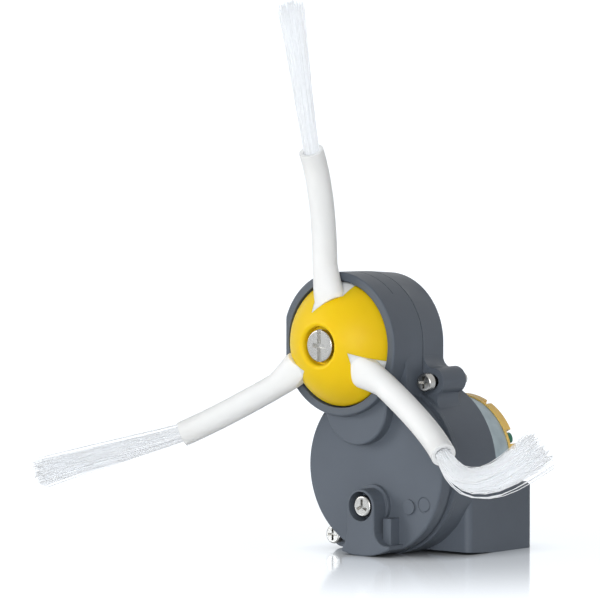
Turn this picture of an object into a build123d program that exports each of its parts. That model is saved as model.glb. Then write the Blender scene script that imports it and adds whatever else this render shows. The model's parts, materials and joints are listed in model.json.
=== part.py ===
from build123d import *
import os
from math import acos, asin, atan2, cos, hypot, pi, radians, sin, sqrt, tan

# Side brush drive module of a robot vacuum. Sizes are in millimetres. X runs to the right, Y to the rear
# and Z up, as the module stands on its cradle with the brush facing forward. The origin is on the standing
# face, under the motor's axis and midway along the block.

# Gear train: motor pinion to idler A, idler A to idler B, idler B to the output gear
module = 0.5
pressure_angle = 25.0
addendum = 0.5
dedendum = 0.6
backlash = 0.05
motor_pinion_teeth = 12
idler_a_teeth = 28
idler_a_pinion_teeth = 12
idler_b_teeth = 36
idler_b_pinion_teeth = 14
output_teeth = 50
gear_width = 2.6
gear_level_gap = 0.6
gear_room = 0.5
running_fit = 0.05
end_play = 0.1
seat_fit = 0.02
idler_pin_radius = 1.0
idler_pin_seat = 1.1
idler_collar_radius = 1.9

# Gear case
wall = 1.6
back_wall = 1.8
gear_clearance = 2.5
brush_lean_x = 7.6
brush_rise = 31.55
gear_case_back_room = 7.25
plate_depth = 6.8
rim_depth = 12.3
rim_wall = 2.1
rim_round = 0.45
plate_round = 0.6
cup_draft = 0.5
rear_draft = 0.85
rear_overlap = 0.35
sleeve_length = 5.65
mark_line_depth = 6.4
mark_line_width = 0.3
mark_line_cut = 0.2
mark_line_angle = 68.0
mark_line_wide_angle = 44.0
cup_flat = 17.0
bulge_radius = 10.0
bulge_height = 3.2
seam_groove_width = 1.9
seam_groove_depth = 0.7
seam_lip = 1.4
cup_seam_width = 0.35
cup_seam_depth = 0.3

# Fastenings
ear_radius = 3.4
ear_boss_radius = 2.95
ear_mouth_radius = 1.7
ear_mouth_depth = 1.5
ear_blend = 3.0
ear_right_out = 3.15
ear_right_rise = 22.4
ear_left_x = 16.3
ear_left_drop = 18.0
ear_boss_proud = 0.3
screw_standoff = 2.0
screw_head_radius = 2.35
screw_head_height = 1.9
screw_shank_radius = 1.15
screw_tip_radius = 1.5
screw_tip_length = 2.6
head_round_share = 0.3
cross_arms = 4
case_screw_arms = 3
head_cross_length = 1.3
head_cross_width = 0.28
head_cross_depth = 0.55
head_edge_round = 0.4
tower_radius = 4.35
tower_drop = 9.05
tower_height = 5.9
tower_recess_radius = 3.75
tower_seat_depth = 2.3
tower_moat_depth = 2.0
tower_edge_round = 0.4
tower_flare_rise = 7.0
tower_foot_left = 6.2
tower_foot_left_rise = 1.5
tower_foot_right = 9.2
tower_foot_right_rise = 3.1
tower_collar = 0.85
tower_collar_height = 1.1
tower_rib_width = 2.6
tower_rib_gap = 1.0
tower_rib_height = 3.4
tower_rib_top = 9.7
case_screw_head_radius = 2.7
case_screw_head_height = 1.7
case_screw_length = 16.0
case_post_radius = 2.9
mark_radius = 1.9
mark_height = 0.5
mark_x = 11.1
mark_drop = 8.9
ring_mark_radius = 2.0
ring_mark_width = 0.3
ring_mark_depth = 0.15
ring_mark_x = 15.9
ring_mark_drop = 8.1

# Motor, and the block with its cradle
motor_radius = 16.4
motor_length = 18.3
motor_sheet = 0.9
band_thickness = 0.6
band_front_gap = 0.5
band_length = 4.8
motor_nose_radius = 4.0
motor_nose_length = 1.3
cap_length = 2.6
cap_overhang = 0.3
cap_floor = 0.6
cap_spigot = 1.2
cap_notch_angle = 23.0
cap_notch_wide_angle = 13.0
cap_step_angle = 63.0
cap_step_wide_angle = 5.0
cap_notch_depth = 2.2
shaft_radius = 1.0
shaft_overhang = 0.5
bush_radius = 2.6
magnet_thickness = 3.4
magnet_angle = 128.0
air_gap = 0.5
core_length = 7.0
core_poles = 5
core_slot_width = 2.4
core_hub_radius = 4.6
winding_height = 2.6
commutator_radius = 3.0
commutator_length = 4.4
carbon_width = 2.6
carbon_length = 3.2
carbon_gap = 0.3
terminal_width = 2.2
terminal_thickness = 0.5
terminal_length = 4.0
terminal_inset = 6.0
suppressor_length = 2.8
suppressor_thickness = 1.8
suppressor_proud = 0.3
suppressor_inset = 0.2
motor_screw_inset = 7.5
motor_screw_radius = 1.25
motor_screw_head_radius = 2.2
motor_screw_head_height = 1.4
block_setback = 5.5
block_depth = 25.9
block_side = 3.6
block_left = 11.5
block_height = 16.8
block_relief = 0.65
block_relief_length = 10.0
cradle_lip_height = 7.0
cradle_fit = 0.15
block_round = 1.8
block_edge = 0.8
contact_width = 2.6
contact_height = 5.0
contact_thickness = 0.5
contact_rise = 2.4
contact_inset = 2.6
contact_pitch = 4.4
contact_count = 2

# Brush
hub_radius = 15.7
hub_gap = 0.45
hub_wall = 2.2
dome_height = 9.6
dome_base = 0.6
hub_skirt = 3.2
hub_post_radius = 6.4
hub_post_gap = 0.5
brush_screw_head_radius = 4.1
brush_screw_head_height = 2.0
brush_screw_sink = 1.5
brush_screw_shank_radius = 1.75
brush_screw_length = 12.0
brush_slot_width = 1.15
brush_slot_depth = 0.7
brush_cross_length = 4.2
brush_cross_width = 1.1
brush_cross_depth = 1.1
recess_gap = 0.8
recess_round = 0.9
drive_seat = 2.0
drive_flat = 2.6
output_shaft_radius = 3.5
output_journal_radius = 2.5
output_journal_seat = 0.9
output_bush_wall = 1.3
output_boss_wall = 1.3
output_boss_proud = 2.6
seal_length = 1.1
arm_turn = 87.7
arm_count = 3
arm_side = 2.0
arm_root = 7.0
arm_root_drop = 3.3
arm_bend = 35.5
arm_bend_drop = 3.2
arm_length = 49.2
arm_end_drop = 10.6
arm_root_across = 4.0
arm_root_thickness = 2.3
arm_root_shift = 1.6
arm_rim = 13.5
arm_rim_across = 4.3
arm_rim_thickness = 3.0
arm_rim_shift = 1.15
arm_hollow = 16.5
arm_hollow_across = 3.75
arm_hollow_shift = 0.55
arm_neck = 20.0
arm_across = 3.2
arm_thickness = 3.1
arm_socket_wall = 1.4
patch_depth = 1.3
patch_tip_reach = 8.65
patch_tip_angle = 22.7
patch_wide_angle = 15.9
patch_narrow_angle = -16.0
patch_corner_reach = 13.2
patch_bend_reach = 10.4
patch_fit = 0.03
tuft_root_radius = 2.1
tuft_tip_radius = 3.3
tuft_hold = 3.0
tuft_lobes = 9
tuft_lobe_depth = 0.8
tuft_root_lobe_depth = 0.25
tuft_top_reach = 85.6
tuft_top_drop = 20.2
tuft_top_side = 2.0
tuft_left_reach = 84.0
tuft_left_drop = 27.0
tuft_left_side = -4.0
tuft_bend_start = 6.3
tuft_bend_radius = 16.2
tuft_bend_angle = 90.0
tuft_bend_lean_angle = 26.0
tuft_bend_steps = 6
tuft_bend_tail = 6.1

# Gears' sizes and places
def pitch_radius(teeth):
    return module * teeth / 2


def tip_radius(teeth):
    return pitch_radius(teeth) + addendum


def centre_distance(one, other):
    return pitch_radius(one) + pitch_radius(other)


motor_to_a = centre_distance(motor_pinion_teeth, idler_a_teeth)
a_to_b = centre_distance(idler_a_pinion_teeth, idler_b_teeth)
b_to_brush = centre_distance(idler_b_pinion_teeth, output_teeth)

drum_cavity_radius = motor_to_a + tip_radius(idler_a_teeth) + gear_clearance
drum_radius = drum_cavity_radius + wall
cup_inner_radius = hub_radius + hub_gap
cup_radius = cup_inner_radius + rim_wall
part_cup_radius = cup_radius - cup_draft
back_cup_radius = part_cup_radius - rear_draft
cup_cavity_radius = tip_radius(output_teeth) + gear_clearance
bulge_cavity_radius = tip_radius(idler_b_teeth) + gear_room

motor = (0.0, drum_radius)
brush = (motor[0] - brush_lean_x, motor[1] + brush_rise)
train_length = hypot(brush[0] - motor[0], brush[1] - motor[1])
train_x = (motor[0] - brush[0]) / train_length
train_z = (motor[1] - brush[1]) / train_length
idler_b = (brush[0] + train_x * b_to_brush, brush[1] + train_z * b_to_brush)
b_to_motor = train_length - b_to_brush
along = (a_to_b**2 - motor_to_a**2 + b_to_motor**2) / (2 * b_to_motor)
aside = sqrt(a_to_b**2 - along**2)
idler_a = (
    idler_b[0] + train_x * along + train_z * aside,
    idler_b[1] + train_z * along - train_x * aside,
)

# Depths along Y, from the parting plane of the two halves
part_y = -(block_setback + block_depth / 2)
rim_y = part_y - rim_depth
plate_y = part_y - plate_depth
inside_y = plate_y + wall
front_gear_y = inside_y + gear_room
rear_gear_y = front_gear_y + gear_width + gear_level_gap
rear_gear_end_y = rear_gear_y + gear_width
back_inside_y = part_y + gear_case_back_room
back_y = back_inside_y + back_wall
screw_head_seat_y = part_y - screw_standoff
boss_end_y = back_y + ear_boss_proud
tower_y = plate_y - tower_height
tower_seat_y = tower_y + tower_seat_depth
case_screw_end_y = tower_seat_y + case_screw_length
bulge_y = plate_y - bulge_height
can_end_y = back_y + motor_length
cap_end_y = can_end_y + cap_length
block_y = part_y + block_setback
block_end_y = block_y + block_depth
block_right_x = motor[0] + motor_radius + band_thickness + block_side
cradle_radius = motor_radius + band_thickness + cradle_fit

ear_right = (brush[0] + part_cup_radius + ear_right_out, motor[1] + ear_right_rise)
ear_left = (motor[0] - ear_left_x, motor[1] - ear_left_drop)
tower = (motor[0], motor[1] - tower_drop)


# Helpers
def slab(sketch, front, back):
    """A sketch drawn in X and Z, made solid from its front face to its back face."""
    return extrude(Plane.XZ.offset(-back) * sketch, back - front)


def disc(place, radius):
    return Pos(*place) * Circle(radius)


def rod(place, radius, front, back):
    return slab(disc(place, radius), front, back)


def ring(place, outer, inner, front, back):
    return slab(disc(place, outer) - disc(place, inner), front, back)


def rounded_rod(place, radius, front, back, rounding):
    """A rod whose front edge is rounded."""
    solid = rod(place, radius, front, back)
    return fillet(solid.edges().filter_by(GeomType.CIRCLE).sort_by(Axis.Y)[0], rounding)


def polygon(*points):
    return make_face(Polyline(*points, close=True))


def around(place, radius, angle):
    return (place[0] + radius * cos(radians(angle)), place[1] + radius * sin(radians(angle)))


def sector(place, inner, outer, angle, span):
    """A sector of a ring about a middle angle."""
    far = outer / cos(radians(span / 2))
    wedge = polygon(place, around(place, far, angle - span / 2), around(place, far, angle + span / 2))
    return wedge & (disc(place, outer) - disc(place, inner))


def drafted(front_sketch, back_sketch, front, back):
    """A solid whose outline changes evenly from its front face to its back face."""
    return loft([Plane.XZ.offset(-front) * front_sketch, Plane.XZ.offset(-back) * back_sketch], ruled=True)


def blend(sketch, radius):
    """Rounds the inner corners of an outline."""
    return offset(offset(sketch, radius), -radius)


def box(left, right, front, back, bottom, top):
    size = (right - left, back - front, top - bottom)
    middle = ((left + right) / 2, (front + back) / 2, (bottom + top) / 2)
    return Pos(*middle) * Box(*size)


def swing(solid, angle):
    """Turns a solid of the brush about the brush's axis, anticlockwise as seen from the front."""
    return Rot(0, -angle, 0) * solid


def on_brush(solid):
    """Moves a solid from the brush's own frame, whose Y is 0 at the cup's rim, to its place."""
    return Pos(brush[0], rim_y, brush[1]) * solid


# Gears
def involute(angle):
    return tan(angle) - angle


def gear_sketch(teeth, place, facing, tooth):
    """A gear with a tooth, or else a gap, on the line from its place to the place it faces."""
    pressure = radians(pressure_angle)
    pitch = pitch_radius(teeth)
    base = pitch * cos(pressure)
    tip = tip_radius(teeth)
    root = pitch - dedendum
    widest = pi / (2 * teeth) - backlash / (2 * pitch) + involute(pressure)
    start = max(base, root)
    flank = [(radius, widest - involute(acos(base / radius))) for radius in (start, pitch, tip)]
    if root < base:
        flank.insert(0, (root, widest))
    first = atan2(facing[1] - place[1], facing[0] - place[0])
    if not tooth:
        first += pi / teeth
    points = []
    for index in range(teeth):
        centre = first + 2 * pi * index / teeth
        points += [(r * cos(centre - a), r * sin(centre - a)) for r, a in flank]
        points += [(r * cos(centre + a), r * sin(centre + a)) for r, a in reversed(flank)]
    return Pos(*place) * polygon(*points)


def gear(teeth, place, facing, tooth, front):
    return slab(gear_sketch(teeth, place, facing, tooth), front, front + gear_width)


def idler(place, front_gear, rear_gear):
    """Two gears in one moulding, with collars that keep them at their levels on the pin."""
    collar = rod(place, idler_collar_radius, inside_y + end_play, back_inside_y - end_play)
    solid = front_gear + rear_gear + collar
    return solid - rod(place, idler_pin_radius + running_fit, inside_y, back_inside_y)


def make_idler_a():
    pinion = gear(idler_a_pinion_teeth, idler_a, idler_b, False, front_gear_y)
    wheel = gear(idler_a_teeth, idler_a, motor, True, rear_gear_y)
    return idler(idler_a, pinion, wheel)


def make_idler_b():
    wheel = gear(idler_b_teeth, idler_b, idler_a, True, front_gear_y)
    pinion = gear(idler_b_pinion_teeth, idler_b, brush, False, rear_gear_y)
    return idler(idler_b, wheel, pinion)


pin_front_y = inside_y - idler_pin_seat
pin_back_y = back_inside_y + idler_pin_seat


def make_idler_pins():
    return [rod(place, idler_pin_radius, pin_front_y, pin_back_y) for place in (idler_a, idler_b)]


def make_motor_pinion():
    solid = gear(motor_pinion_teeth, motor, idler_a, False, rear_gear_y)
    return solid - rod(motor, shaft_radius + seat_fit, rear_gear_y, rear_gear_end_y)


# Output shaft and its bearing
output_boss_y = plate_y - output_boss_proud
seal_y = output_boss_y
bush_y = seal_y + seal_length
bush_end_y = rear_gear_y - end_play - gear_room
output_bush_radius = output_shaft_radius + running_fit + output_bush_wall
output_boss_radius = output_bush_radius + output_boss_wall
screw_seat_y = rim_y + dome_base - dome_height + brush_screw_sink + brush_screw_head_height
shaft_front_y = screw_seat_y + drive_seat
drive_end_y = output_boss_y - hub_post_gap
socket_front_y = rear_gear_end_y + end_play
journal_end_y = back_inside_y + output_journal_seat


def drive_sketch(growth):
    """The round of the shaft with two flats, which carry the hub round."""
    flats = Rectangle(2 * (output_shaft_radius + growth), 2 * (drive_flat + growth))
    return Pos(*brush) * (Circle(output_shaft_radius + growth) & flats)


def make_output_gear():
    solid = gear(output_teeth, brush, idler_b, True, rear_gear_y)
    solid += rod(brush, output_shaft_radius, drive_end_y, rear_gear_y)
    solid += slab(drive_sketch(0), shaft_front_y, drive_end_y)
    solid += rod(brush, output_journal_radius, rear_gear_end_y, journal_end_y)
    hole_end = screw_seat_y + brush_screw_length + end_play
    return solid - rod(brush, brush_screw_shank_radius + seat_fit, shaft_front_y, hole_end)


def make_output_bush():
    return ring(brush, output_bush_radius, output_shaft_radius + running_fit, bush_y, bush_end_y)


def make_shaft_seal():
    return ring(brush, output_bush_radius, output_shaft_radius + running_fit, seal_y, bush_y)


# Gear case
ears = (ear_right, ear_left)


def cup_sketch(radius):
    """The cup's round with the flat on its left side."""
    flat = Pos(brush[0] - cup_flat - radius, brush[1]) * Rectangle(2 * radius, 4 * radius)
    return disc(brush, radius) - flat


def shoulder_sketch(radius):
    """The straight wall from the cup's right side down into the drum."""
    right = brush[0] + radius
    return polygon(brush, (right, brush[1]), (right, motor[1]), motor)


def cup_seam_sketch():
    """What lies outside the fine groove that parts the cup's two halves."""
    inside = part_cup_radius - cup_seam_depth
    around_cup = disc(brush, 2 * cup_radius) - cup_sketch(inside) - shoulder_sketch(inside)
    return around_cup - disc(motor, drum_radius)


def rear_sketch():
    """The rear half's outline, which flows from the cup and the drum into the ears."""
    outline = cup_sketch(back_cup_radius) + shoulder_sketch(back_cup_radius)
    outline += disc(motor, drum_radius + rear_overlap)
    for place in ears:
        outline += disc(place, ear_radius)
    return blend(outline, ear_blend)


def cavity_sketch():
    drum = disc(motor, drum_cavity_radius)
    return drum + disc(brush, cup_cavity_radius) + disc(idler_b, bulge_cavity_radius)


def tower_sketch():
    """The post with a round top, and a foot that flares out along the drum's lower edge."""
    left = tower[0] - tower_radius
    right = tower[0] + tower_radius
    left_foot = (tower[0] - tower_foot_left, tower_foot_left_rise)
    right_foot = (tower[0] + tower_foot_right, tower_foot_right_rise)
    edges = [
        ThreePointArc((right, tower[1]), (tower[0], tower[1] + tower_radius), (left, tower[1])),
        Line((left, tower[1]), (left, tower_flare_rise)),
        TangentArc((left, tower_flare_rise), left_foot, tangent=(0, -1)),
        Polyline(left_foot, (left_foot[0], -wall), (right_foot[0], -wall), right_foot),
        TangentArc((right, tower_flare_rise), right_foot, tangent=(0, -1)),
        Line((right, tower_flare_rise), (right, tower[1])),
    ]
    return make_face(Curve() + edges) & disc(motor, drum_radius)


def tower_rib_sketch():
    left = tower[0] + tower_radius + tower_rib_gap
    middle = left + tower_rib_width / 2
    strip = Pos(middle, tower_rib_top / 2) * Rectangle(tower_rib_width, tower_rib_top)
    return strip & disc(motor, drum_radius)


def above_floor(solid):
    """Trims what would reach below the standing face."""
    reach = 4 * drum_radius
    return solid - box(-reach, reach, -reach, reach, -reach, 0)


def make_front_cup():
    """The cup with its draft, the flat on its side and the fine line on its top."""
    solid = drafted(disc(brush, cup_radius), disc(brush, part_cup_radius), rim_y, part_y)
    solid = fillet(solid.edges().filter_by(GeomType.CIRCLE).sort_by(Axis.Y)[0], rim_round)
    solid &= slab(cup_sketch(cup_radius), rim_y, part_y)
    line_radius = cup_radius - cup_draft * mark_line_depth / rim_depth
    inner = line_radius - mark_line_cut
    line = sector(brush, inner, cup_radius, mark_line_angle, mark_line_wide_angle)
    line_y = rim_y + mark_line_depth
    return solid - slab(line, line_y, line_y + mark_line_width)


def make_tower():
    """The screw tower with its collar and the rib beside it."""
    solid = slab(tower_sketch(), tower_y, plate_y + wall)
    solid = fillet(solid.faces().sort_by(Axis.Y)[0].edges(), tower_edge_round)
    solid += rod(tower, tower_radius + tower_collar, plate_y - tower_collar_height, plate_y)
    return solid + slab(tower_rib_sketch(), plate_y - tower_rib_height, plate_y)


def make_front_housing():
    solid = make_front_cup()
    solid += rounded_rod(motor, drum_radius, plate_y, part_y, plate_round)
    solid += slab(shoulder_sketch(part_cup_radius), plate_y, part_y)
    solid -= slab(cup_seam_sketch(), part_y - cup_seam_width, part_y)
    solid += rounded_rod(idler_b, bulge_radius, bulge_y, plate_y, plate_round)
    groove_end = part_y - seam_lip
    groove_start = groove_end - seam_groove_width
    groove = ring(motor, drum_radius + wall, drum_radius - seam_groove_depth, groove_start, groove_end)
    outside = slab(disc(motor, 2 * drum_radius) - shoulder_sketch(part_cup_radius), rim_y, part_y)
    solid -= groove & outside - rod(brush, cup_radius, rim_y, part_y)
    solid += rod(motor, drum_radius + rear_overlap, groove_end, part_y)
    solid += make_tower()
    mark = (motor[0] + mark_x, motor[1] - mark_drop)
    solid += rod(mark, mark_radius, plate_y - mark_height, plate_y)
    ring_mark = (motor[0] + ring_mark_x, motor[1] - ring_mark_drop)
    ring_mark_inner = ring_mark_radius - ring_mark_width
    solid -= ring(ring_mark, ring_mark_radius, ring_mark_inner, plate_y, plate_y + ring_mark_depth)
    solid -= slab(cavity_sketch(), inside_y, part_y)
    bulge_pocket = disc(idler_b, bulge_radius - wall) - disc(brush, cup_inner_radius + wall)
    solid -= slab(bulge_pocket, bulge_y + wall, inside_y)
    solid -= rod(brush, cup_inner_radius, rim_y, plate_y)
    solid += rod(brush, output_boss_radius, output_boss_y, bush_end_y)
    solid -= rod(brush, output_bush_radius + seat_fit, output_boss_y, bush_end_y)
    solid += rod(tower, case_post_radius, inside_y, part_y)
    solid -= rod(tower, tower_recess_radius, tower_y, tower_seat_y + tower_moat_depth)
    solid += rod(tower, case_screw_head_radius, tower_seat_y, tower_seat_y + tower_moat_depth)
    solid -= rod(tower, screw_shank_radius + seat_fit, tower_seat_y, part_y)
    for place in (idler_a, idler_b):
        solid -= rod(place, idler_pin_radius + seat_fit, pin_front_y, inside_y)
    return above_floor(solid)


def block_solid():
    """The block and the cradle under the motor, raised a little at the front."""
    right = block_right_x
    solid = box(motor[0], right, block_y, block_end_y, 0, block_height)
    solid = fillet(solid.edges().filter_by(Axis.Z).group_by(Axis.X)[-1], block_round)
    solid = chamfer(solid.faces().sort_by(Axis.Z)[-1].edges(), block_edge)
    solid += box(motor[0] - block_left, right - block_round, block_y, block_end_y, 0, cradle_lip_height)
    relief = polygon((block_y, 0), (block_y + block_relief_length, 0), (block_y, block_relief))
    solid -= extrude(Plane.YZ.offset(-right) * relief, 2 * right)
    return solid - rod(motor, cradle_radius, block_y, block_end_y)


def make_rear_cup():
    """The rear end of the cup and its straight wall, drafted toward the back."""
    front_sketch = cup_sketch(part_cup_radius) + shoulder_sketch(part_cup_radius)
    back_sketch = cup_sketch(back_cup_radius) + shoulder_sketch(back_cup_radius)
    return drafted(front_sketch, back_sketch, part_y, back_y)


def make_rear_housing():
    solid = make_rear_cup() + slab(rear_sketch(), part_y, back_y)
    solid += ring(motor, drum_radius + rear_overlap, cradle_radius, back_y, back_y + sleeve_length)
    solid += block_solid()
    for place in ears:
        solid += drafted(disc(place, ear_radius), disc(place, ear_boss_radius), part_y, boss_end_y)
    solid -= slab(cavity_sketch(), part_y, back_inside_y)
    solid += rod(tower, case_post_radius, part_y, back_inside_y)
    solid += rod(brush, output_journal_radius + wall, socket_front_y, back_inside_y)
    solid -= rod(brush, output_journal_radius + running_fit, socket_front_y, journal_end_y + end_play)
    solid -= rod(motor, motor_nose_radius + seat_fit, back_inside_y, back_y)
    solid -= rod(tower, screw_shank_radius + seat_fit, part_y, case_screw_end_y + end_play)
    for place in ears:
        solid -= rod(place, screw_shank_radius + seat_fit, part_y, boss_end_y)
        solid -= rod(place, ear_mouth_radius, part_y, part_y + ear_mouth_depth)
    for place in (idler_a, idler_b):
        solid -= rod(place, idler_pin_radius + seat_fit, back_inside_y, pin_back_y)
    for place in motor_screw_places():
        solid -= rod(place, motor_screw_radius + seat_fit, back_inside_y, back_y)
    return above_floor(solid)


# Screws
def pan_head(place, radius, height, seat, recess_arms):
    """A pan head in front of its seat, with a rounded front edge and a recess of several arms."""
    solid = rounded_rod(place, radius, seat - height, seat, height * head_round_share)
    length = radius * head_cross_length / 2
    arm = Pos(length / 2, 0) * Rectangle(length, radius * head_cross_width)
    for index in range(recess_arms):
        slot = Pos(*place) * Rot(0, 0, 90 + 360 * index / recess_arms) * arm
        solid -= slab(slot, seat - height, seat - height + height * head_cross_depth)
    return solid


def make_chassis_screws():
    """Screws that stay in the ears, with a thread on the tip alone."""
    screws = []
    for place in ears:
        solid = pan_head(place, screw_head_radius, screw_head_height, screw_head_seat_y, cross_arms)
        solid += rod(place, screw_shank_radius, screw_head_seat_y, boss_end_y)
        solid += rod(place, screw_tip_radius, boss_end_y, boss_end_y + screw_tip_length)
        screws.append(solid)
    return screws


def make_case_screw():
    solid = pan_head(tower, case_screw_head_radius, case_screw_head_height, tower_seat_y, case_screw_arms)
    return solid + rod(tower, screw_shank_radius, tower_seat_y, case_screw_end_y)


def make_brush_screw():
    """A flat head with a slot right across it and a short cross, on a plain shank."""
    top = screw_seat_y - brush_screw_head_height
    solid = rounded_rod(brush, brush_screw_head_radius, top, screw_seat_y, head_edge_round)
    slot = Pos(*brush) * Rectangle(brush_slot_width, 2 * brush_screw_head_radius)
    cross = Pos(*brush) * Rectangle(brush_cross_length, brush_cross_width)
    solid -= slab(slot, top, top + brush_slot_depth)
    solid -= slab(cross, top, top + brush_cross_depth)
    return solid + rod(brush, brush_screw_shank_radius, screw_seat_y, screw_seat_y + brush_screw_length)


# Motor
def motor_screw_places():
    return [around(motor, motor_radius - motor_screw_inset, angle) for angle in (0, 180)]


bore_radius = motor_radius - motor_sheet
can_inside_y = back_y + motor_sheet
magnet_radius = bore_radius - magnet_thickness
core_radius = magnet_radius - air_gap
core_y = can_inside_y + winding_height + 2 * end_play
core_end_y = core_y + core_length
winding_end_y = core_end_y + winding_height
cap_face_y = can_end_y - cap_spigot
cap_floor_y = can_end_y + cap_floor
nose_y = back_y - motor_nose_length


def make_motor_can():
    solid = rod(motor, motor_radius, back_y, can_end_y)
    solid -= rod(motor, bore_radius, can_inside_y, can_end_y)
    solid += rod(motor, motor_nose_radius, nose_y, can_inside_y)
    solid -= rod(motor, bush_radius + seat_fit, nose_y, can_inside_y)
    for place in motor_screw_places():
        solid -= rod(place, motor_screw_radius + seat_fit, back_y, can_inside_y)
    return solid


def make_flux_band():
    front = back_y + band_front_gap
    return ring(motor, motor_radius + band_thickness, motor_radius + seat_fit, front, front + band_length)


def make_motor_end_cap():
    """The moulded cover of the motor's rear, notched at its edge."""
    solid = rod(motor, motor_radius + cap_overhang, can_end_y, cap_end_y)
    solid += rod(motor, bore_radius - seat_fit, cap_face_y, can_end_y)
    inner = motor_radius - cap_notch_depth
    outer = motor_radius + band_thickness
    for angle, span in ((cap_notch_angle, cap_notch_wide_angle), (cap_step_angle, cap_step_wide_angle)):
        for side in (angle, angle + 180):
            solid -= slab(sector(motor, inner, outer, side, span), cap_floor_y, cap_end_y)
    solid -= rod(motor, bush_radius + seat_fit, cap_face_y, cap_end_y)
    for place in terminal_places():
        solid -= slab(terminal_sketch(place, seat_fit), cap_face_y, cap_end_y)
    return solid


def terminal_places():
    return [around(motor, motor_radius - terminal_inset, angle) for angle in (90, 270)]


def terminal_sketch(place, growth):
    return Pos(*place) * Rectangle(terminal_width + 2 * growth, terminal_thickness + 2 * growth)


def make_motor_terminals():
    back = cap_end_y + terminal_length
    return [slab(terminal_sketch(place, 0), cap_face_y, back) for place in terminal_places()]


def make_suppressor():
    """A small disc component that lies in the end cap's notch."""
    place = around(motor, motor_radius - cap_notch_depth / 2 + suppressor_proud, cap_notch_angle)
    outline = Ellipse(suppressor_length / 2, suppressor_thickness / 2)
    across = Pos(*place) * Rot(0, 0, cap_notch_angle + 90)
    return slab(across * outline, cap_floor_y, cap_end_y - suppressor_inset)


def make_motor_bush(front, back):
    return ring(motor, bush_radius, shaft_radius + running_fit, front, back)


def make_motor_shaft():
    return rod(motor, shaft_radius, rear_gear_y - shaft_overhang, cap_end_y - end_play)


def make_magnets():
    magnets = []
    for angle in (0, 180):
        arc = sector(motor, magnet_radius, bore_radius - seat_fit, angle, magnet_angle)
        magnets.append(slab(arc, core_y, core_end_y))
    return magnets


def make_armature_core():
    """A slotted stack on the shaft."""
    outline = disc(motor, core_radius) - disc(motor, shaft_radius + seat_fit)
    depth = core_radius - core_hub_radius
    for index in range(core_poles):
        angle = 90 + 360 * index / core_poles
        slot = Pos(*around(motor, core_hub_radius + depth / 2, angle)) * Rot(0, 0, angle)
        outline -= slot * Rectangle(depth + 2 * air_gap, core_slot_width)
    return slab(outline, core_y, core_end_y)


def make_windings():
    """The turns that stand out at both ends of the stack."""
    outer = core_radius - air_gap
    inner = core_hub_radius
    front = ring(motor, outer, inner, core_y - winding_height, core_y)
    return [front, ring(motor, outer, inner, core_end_y, winding_end_y)]


def make_commutator():
    front = winding_end_y - winding_height + end_play
    return ring(motor, commutator_radius, shaft_radius + seat_fit, front, front + commutator_length)


def make_carbon_brushes():
    front = winding_end_y + carbon_gap
    brushes = []
    for side in (-1, 1):
        inner = motor[0] + side * (commutator_radius + running_fit)
        outer = inner + side * carbon_length
        strip = Pos((inner + outer) / 2, motor[1]) * Rectangle(carbon_length, carbon_width)
        brushes.append(slab(strip, front, cap_face_y))
    return brushes


def make_motor_screws():
    screws = []
    for place in motor_screw_places():
        top = back_inside_y - motor_screw_head_height
        solid = rounded_rod(place, motor_screw_head_radius, top, back_inside_y, head_edge_round)
        screws.append(solid + rod(place, motor_screw_radius, back_inside_y, can_inside_y))
    return screws


def make_contact_blades():
    """Flat contacts on the block's rear face."""
    back = block_end_y + contact_thickness
    top = contact_rise + contact_height
    blades = []
    for index in range(contact_count):
        right = block_right_x - contact_inset - index * contact_pitch
        blades.append(box(right - contact_width, right, block_end_y, back, contact_rise, top))
    return blades


# Brush, in its own frame: its axis is Y, and Y is 0 at the cup's rim
dome_radius = (hub_radius**2 + dome_height**2) / (2 * dome_height)
dome_centre_y = dome_base - dome_height + dome_radius


def dome(inset):
    """The dome's solid down to the skirt's end, smaller all round by an inset."""
    radius = hub_radius - inset
    sphere = dome_radius - inset
    edge = (radius, dome_centre_y - sqrt(sphere**2 - radius**2))
    half = asin(radius / sphere) / 2
    middle = (sphere * sin(half), dome_centre_y - sphere * cos(half))
    top = (0, dome_centre_y - sphere)
    skirt = Polyline(edge, (radius, hub_skirt), (0, hub_skirt), top)
    arc = ThreePointArc(top, middle, edge)
    return revolve(make_face(Curve() + [arc, skirt]), Axis.Y)


def polar(reach, angle):
    return reach * cos(radians(angle)), reach * sin(radians(angle))


def patch_prism(growth):
    """The outline of an arm's root as it lies on the dome, open outward, through the whole hub."""
    tip = polar(patch_tip_reach - growth, patch_tip_angle)
    wide = polar(2 * arm_length, patch_wide_angle)
    low = polar(2 * arm_length, patch_narrow_angle)
    corner = polar(patch_corner_reach - growth, patch_narrow_angle)
    bend = polar(patch_bend_reach - growth, (patch_tip_angle + patch_narrow_angle) / 2)
    edges = [Line(tip, wide), Line(wide, low), Line(low, corner), ThreePointArc(corner, bend, tip)]
    return slab(make_face(Curve() + edges), -2 * arm_end_drop, hub_skirt)


arm_path = Bezier(
    (arm_root, -arm_root_drop, arm_side),
    (arm_bend, -arm_bend_drop, arm_side),
    (arm_length, -arm_end_drop, arm_side),
)


def arm_share(reach):
    return (reach - arm_root) / (arm_length - arm_root)


def arm_section(reach, across, thickness, shift):
    """An oval across the arm's line at a distance from the brush's axis, moved to one side."""
    share = arm_share(reach)
    place = arm_path @ share - Vector(0, 0, shift)
    return Plane(origin=place, x_dir=(0, 0, 1), z_dir=arm_path % share) * Ellipse(across, thickness)


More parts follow.
